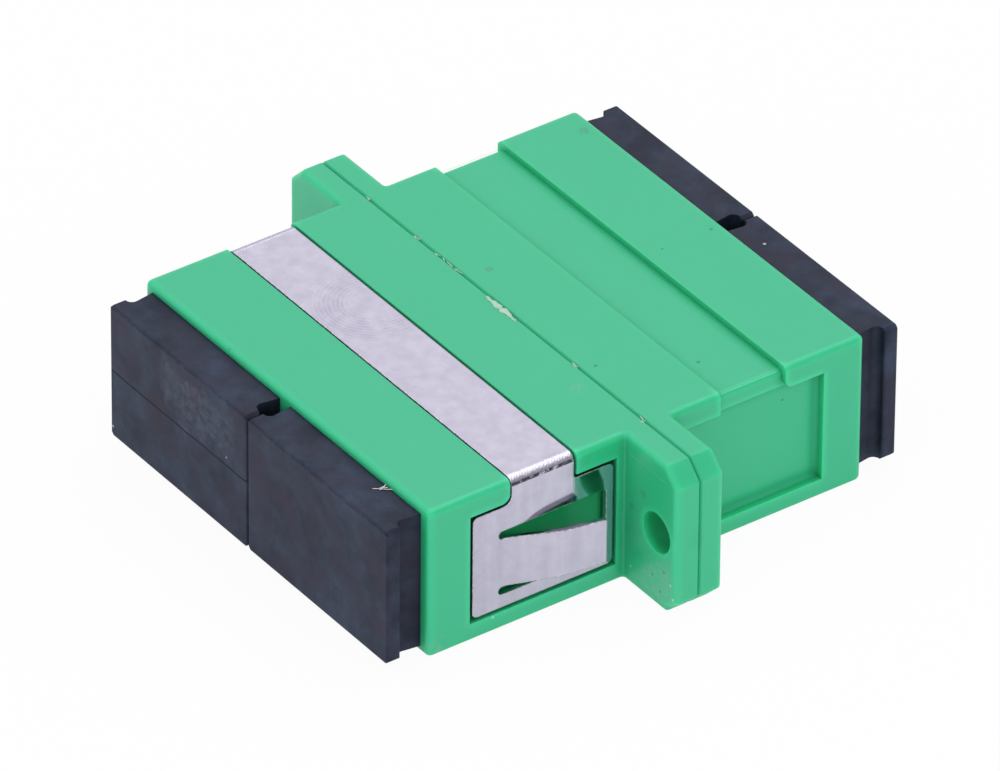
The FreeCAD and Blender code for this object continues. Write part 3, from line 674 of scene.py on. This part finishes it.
def ragged_flake():
    """One torn flake of flash, 1 across each way, pointed along X and ragged at its rim."""
    bpy.ops.object.select_all(action="DESELECT")
    bpy.ops.mesh.primitive_uv_sphere_add(segments=20, ring_count=28, radius=1.0)
    flake = bpy.context.object
    bpy.ops.transform.rotate(value=math.radians(90), orient_axis="Y", center_override=(0, 0, 0))
    bpy.ops.transform.resize(value=(FLAKE_STRETCH, 1.0, 1.0))
    bpy.ops.object.transform_apply(location=True, rotation=True, scale=True)
    ragged = bpy.data.textures.new("ragged_flash", "CLOUDS")
    ragged.noise_scale = RAGGED_GRAIN
    ragged.noise_depth = 3
    bpy.ops.object.modifier_add(type="DISPLACE")
    displace = flake.modifiers[-1]
    displace.texture = ragged
    displace.strength = RAGGED_DEPTH
    displace.mid_level = RAGGED_MIDDLE
    bpy.ops.object.modifier_apply(modifier=displace.name)
    bpy.ops.transform.resize(value=tuple(1 / size for size in flake.dimensions))
    bpy.ops.object.transform_apply(location=True, rotation=True, scale=True)
    return flake


def cut_flake(first, place, size, turn):
    """A copy of the flake with its own place, size and turn, half sunk where it lies."""
    bpy.ops.object.select_all(action="DESELECT")
    first.select_set(True)
    bpy.context.view_layer.objects.active = first
    bpy.ops.object.duplicate(linked=False)
    flake = bpy.context.object
    flake.scale = (size[0], size[1], size[2] * 2)
    flake.rotation_euler = (0.0, 0.0, turn)
    flake.location = place
    return flake


class ADAPTER_OT_weld_flash(bpy.types.Operator):
    """Add the torn flakes of flash that the weld squeezed out along the top seam"""
    bl_idname = "adapter.weld_flash"
    bl_label = "Weld flash"

    def execute(self, context):
        sizes = context.scene.adapter_marks
        material = torn_pbt("torn_pbt_flash", "#A6F2C8", "#BFD8BF")
        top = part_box("rear_housing")[1].z
        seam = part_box("rear_housing")[0].y
        first = ragged_flake()
        centre, long, wide = MAIN_FLAKE
        scar = cut_flake(first, (centre * MM, seam - wide * SCAR_OFFSET * MM, top),
                         (long * MM, wide * MM, sizes.flash_height), 0.0)
        scar.name = "weld_scar"
        settle(scar, material, "adapter")
        chance = random.Random(FLECK_SEED)
        for number, (centre, span) in enumerate(FLECKS, 1):
            flecks = []
            for _ in range(FEWEST_FLECKS + int(span / FLECK_SPACING)):
                place = (chance.gauss(centre, span / FLECK_GATHER) * MM,
                         seam + chance.gauss(*FLECK_OFFSET) * MM, top)
                size = (chance.uniform(*FLECK_LENGTH) * MM, chance.uniform(*FLECK_WIDTH) * MM,
                        sizes.flash_height * FLECK_RISE)
                turn = chance.uniform(-FLECK_TURN, FLECK_TURN)
                flecks.append(cut_flake(first, place, size, turn))
            cluster = joined(flecks)
            cluster.name = f"weld_flecks_{number}"
            settle(cluster, material, "adapter")
        bpy.data.objects.remove(first)
        return {"FINISHED"}


def bead(name, start, end, radius):
    """Thin straight bead with tapered ends, half sunk in the face that it lies on."""
    along = end - start
    bpy.ops.object.select_all(action="DESELECT")
    bpy.ops.mesh.primitive_cylinder_add(vertices=12, radius=radius, depth=along.length,
                                        location=(start + end) / 2,
                                        rotation=along.to_track_quat("Z", "Y").to_euler())
    piece = bpy.context.object
    piece.name = name
    bpy.ops.object.transform_apply(location=True, rotation=True, scale=True)
    bpy.ops.object.mode_set(mode="EDIT")
    for share in (BEAD_TAPER, 1 - BEAD_TAPER):
        bpy.ops.mesh.select_all(action="SELECT")
        bpy.ops.mesh.bisect(plane_co=start + along * share, plane_no=along)
    for tip in (start, end):
        bpy.ops.mesh.select_all(action="DESELECT")
        bpy.ops.object.mode_set(mode="OBJECT")
        for vertex in piece.data.vertices:
            vertex.select = abs((vertex.co - tip).dot(along.normalized())) < radius / 2
        bpy.ops.object.mode_set(mode="EDIT")
        bpy.ops.transform.resize(value=(BEAD_TIP,) * 3, center_override=tip)
    bpy.ops.object.mode_set(mode="OBJECT")
    return piece


class ADAPTER_OT_mould_lines(bpy.types.Operator):
    """Add a cap's parting line, the ear's witness line, slide flash and highlight-painted groove
    flash
    """
    bl_idname = "adapter.mould_lines"
    bl_label = "Mould lines"

    def execute(self, context):
        radius = context.scene.adapter_marks.bead_radius
        low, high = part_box("dust_cap_front_left")
        height = (low.z + high.z) / 2
        inset = 0.1 * MM
        line = bead("cap_parting_line", Vector((low.x + inset, low.y, height)),
                    Vector((high.x - inset, low.y, height)), radius)
        settle(line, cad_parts["dust_cap_front_left"].data.materials[0],
               "dust_cap_front_left")

        pale = torn_pbt("thin_pbt_flash", "#5FD3A0", "#8ADDB8")
        # The groove's flash is near-white: thin flash that is also a painted highlight along the
        # groove edge
        clear = torn_pbt("clear_pbt_flash", "#7DF2C0", "#A8FFDC")
        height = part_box("front_housing")[1].z / MM - WITNESS_DROP
        near, far = LEDGE_Y
        # Each has its start, its end, its share of the bead radius and its plastic
        lines = {
            "ear_witness_line": ((SIDE_X + 0.3, EAR_FACE_Y, height),
                                 (WITNESS_END_X, EAR_FACE_Y, height), 0.6, pale),
            "slide_line_side": ((SIDE_X, SLIDE_LINE_START_Y, SLIDE_LINE_Z),
                                (SIDE_X, FRONT_Y + 0.4, SLIDE_LINE_Z), 0.7, pale),
            "slide_line_front": ((SIDE_X - 0.4, FRONT_Y, SLIDE_LINE_Z),
                                 (SLIDE_LINE_END_X, FRONT_Y, SLIDE_LINE_Z), 0.7, pale),
            # groove flash painted as a highlight
            "ledge_flash_right": ((LEDGE_X, near, LEDGE_Z), (LEDGE_X, far, LEDGE_Z), 0.8, clear),
            "ledge_flash_left": ((-LEDGE_X, near, LEDGE_Z), (-LEDGE_X, far, LEDGE_Z), 0.8, clear),
        }
        for name, (start, end, share, material) in lines.items():
            line = bead(name, Vector(start) * MM, Vector(end) * MM, radius * share)
            settle(line, material, "adapter")
        return {"FINISHED"}


class ADAPTER_OT_lint(bpy.types.Operator):
    """Add a small wisp of lint caught on one cap"""
    bl_idname = "adapter.lint"
    bl_label = "Lint"

    def execute(self, context):
        radius = context.scene.adapter_marks.fibre_radius
        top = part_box("dust_cap_front_right")[1].z
        fibres = []
        for points in LINT:
            bpy.ops.object.select_all(action="DESELECT")
            bpy.ops.curve.primitive_bezier_curve_add()
            fibre = context.object
            for handle, (x, y, lift) in zip(fibre.data.splines[0].bezier_points, points):
                handle.co = (x * MM, y * MM, top + radius + lift * MM)
                handle.handle_left_type = handle.handle_right_type = "AUTO"
            fibre.data.bevel_depth = radius
            fibre.data.resolution_u = 8
            fibre.data.use_fill_caps = True
            bpy.ops.object.convert(target="MESH")
            fibres.append(context.object)
        wisp = joined(fibres)
        wisp.name = "lint"
        settle(wisp, cotton_lint(), "dust_cap_front_right")
        return {"FINISHED"}


def make_world(stage):
    """White to look at and even where it lights. Reflections show a bright ceiling, a dim horizon
    and a dim wall on the right."""
    world = bpy.data.worlds.new("studio")
    bpy.context.scene.world = world
    world.use_nodes = True
    world.node_tree.nodes.clear()
    add = partial(add_node, world.node_tree)
    path = add("LightPath").outputs
    mirrored = path["Is Glossy Ray"]
    across, _, height = add("SeparateXYZ", (add("TexCoord").outputs["Generated"],)).outputs
    seen = add("Math", (path["Is Camera Ray"], path["Is Transmission Ray"]), operation="MAXIMUM")
    overhead = add("Math", (add("MapRange", (height, 0.0, 0.3, stage.horizon, 1.05)),
                            add("MapRange", (height, 0.7, 0.9, 0.0, stage.ceiling))),
                   operation="ADD")
    wall = add("MapRange", (across, 0.35, 0.6, 1.0, stage.wall))
    special = add("Math", (seen, mirrored), operation="MAXIMUM")
    plain = add("MapRange", (special, 0.0, 1.0, stage.sky, 0.0))
    strength = add("Math", (seen, product(add, mirrored, overhead, wall)), operation="MAXIMUM")
    strength = add("Math", (strength, plain), operation="MAXIMUM")
    background = add("Background", {"Color": (1, 1, 1, 1), "Strength": strength})
    add("OutputWorld", {"Surface": background})


def floor_material():
    """Pale matt floor, almost plain white to look at, and clear from underneath."""
    material, add, _ = start_material("pale_floor")
    path = add("LightPath").outputs
    seen = add("Math", (path["Is Camera Ray"], path["Is Transmission Ray"]), operation="MAXIMUM")
    share = add("MapRange", (seen, 0.0, 1.0, FLOOR_WHITE_ELSEWHERE, FLOOR_WHITE_SEEN))
    matt = add("BsdfDiffuse", {"Color": linear("#F4F4F4")})
    glow = add("Emission", {"Color": (1, 1, 1, 1), "Strength": 1.0})
    lit = add("MixShader", (share, matt, glow))

    # From below, and for rays that have come through it, there is no floor
    under = add("NewGeometry").outputs["Backfacing"]
    passed = add("Math", (path["Transparent Depth"], 0.5), operation="GREATER_THAN")
    hidden = add("Math", (under, passed), operation="MAXIMUM")
    surface = add("MixShader", (hidden, lit, add("BsdfTransparent")))
    add("OutputMaterial", {"Surface": surface})
    return material


def add_lamp(name, place, watts):
    """Square soft lamp that points at the part."""
    data = bpy.data.lights.new(name, "AREA")
    data.size = LAMP_SIDE
    data.energy = watts
    lamp = bpy.data.objects.new(name, data)
    lamp.location = place
    lamp.rotation_euler = (-Vector(place)).to_track_quat("-Z", "Y").to_euler()
    bpy.context.scene.collection.objects.link(lamp)
    return lamp


class ADAPTER_OT_stage(bpy.types.Operator):
    """Make the floor, the soft light and the camera"""
    bl_idname = "adapter.stage"
    bl_label = "Stage"

    def execute(self, context):
        stage = context.scene.adapter_stage
        bpy.ops.object.select_all(action="DESELECT")
        bpy.ops.mesh.primitive_circle_add(vertices=96, radius=FLOOR_RADIUS, fill_type="NGON",
                                          location=(0.0, 0.0, -FLOOR_DROP))
        floor = context.object
        floor.name = "floor"
        floor.data.materials.append(floor_material())

        make_world(stage)
        for name, place in LAMP_PLACES.items():
            lamp = add_lamp(f"{name}_lamp", place, getattr(stage, name))
            lamp.visible_glossy = name == MIRRORED_LAMP

        data = bpy.data.cameras.new("camera")
        data.sensor_width = SENSOR_WIDTH
        data.lens = stage.lens
        data.clip_start, data.clip_end = CAMERA_REACH
        camera = bpy.data.objects.new("camera", data)
        level = math.cos(stage.elevation)
        back = Vector((math.sin(stage.azimuth) * level, -math.cos(stage.azimuth) * level,
                       math.sin(stage.elevation)))
        camera.location = Vector(stage.target) + back * stage.distance
        level_view = (-back).to_track_quat("-Z", "Y")
        camera.rotation_euler = (level_view @ Quaternion((0, 0, 1), stage.roll)).to_euler()
        context.scene.collection.objects.link(camera)
        context.scene.camera = camera
        context.scene.view_settings.view_transform = "Standard"
        return {"FINISHED"}


class VIEW3D_PT_adapter(bpy.types.Panel):
    """Buttons for each group of pieces"""
    bl_label = "Adapter"
    bl_category = "Adapter"
    bl_space_type = "VIEW_3D"
    bl_region_type = "UI"

    def draw(self, context):
        for operator in OPERATORS:
            self.layout.operator(operator.bl_idname)


OPERATORS = (ADAPTER_OT_housings, ADAPTER_OT_clip, ADAPTER_OT_caps, ADAPTER_OT_insides,
             ADAPTER_OT_weld_flash, ADAPTER_OT_mould_lines, ADAPTER_OT_lint, ADAPTER_OT_stage)
SETTINGS = {"adapter_finish": AdapterFinishSettings, "adapter_marks": AdapterMarkSettings,
            "adapter_stage": AdapterStageSettings}
CLASSES = (*SETTINGS.values(), *OPERATORS, VIEW3D_PT_adapter)


def register():
    for item in CLASSES:
        bpy.utils.register_class(item)
    for name, group in SETTINGS.items():
        setattr(bpy.types.Scene, name, bpy.props.PointerProperty(type=group))


def unregister():
    for name in SETTINGS:
        delattr(bpy.types.Scene, name)
    for item in reversed(CLASSES):
        bpy.utils.unregister_class(item)


def main():
    register()
    bpy.ops.adapter.housings()
    bpy.ops.adapter.clip()
    bpy.ops.adapter.caps()
    bpy.ops.adapter.insides()
    bpy.ops.adapter.weld_flash()
    bpy.ops.adapter.mould_lines()
    bpy.ops.adapter.lint()
    bpy.ops.adapter.stage()


if __name__ == "__main__":
    main()
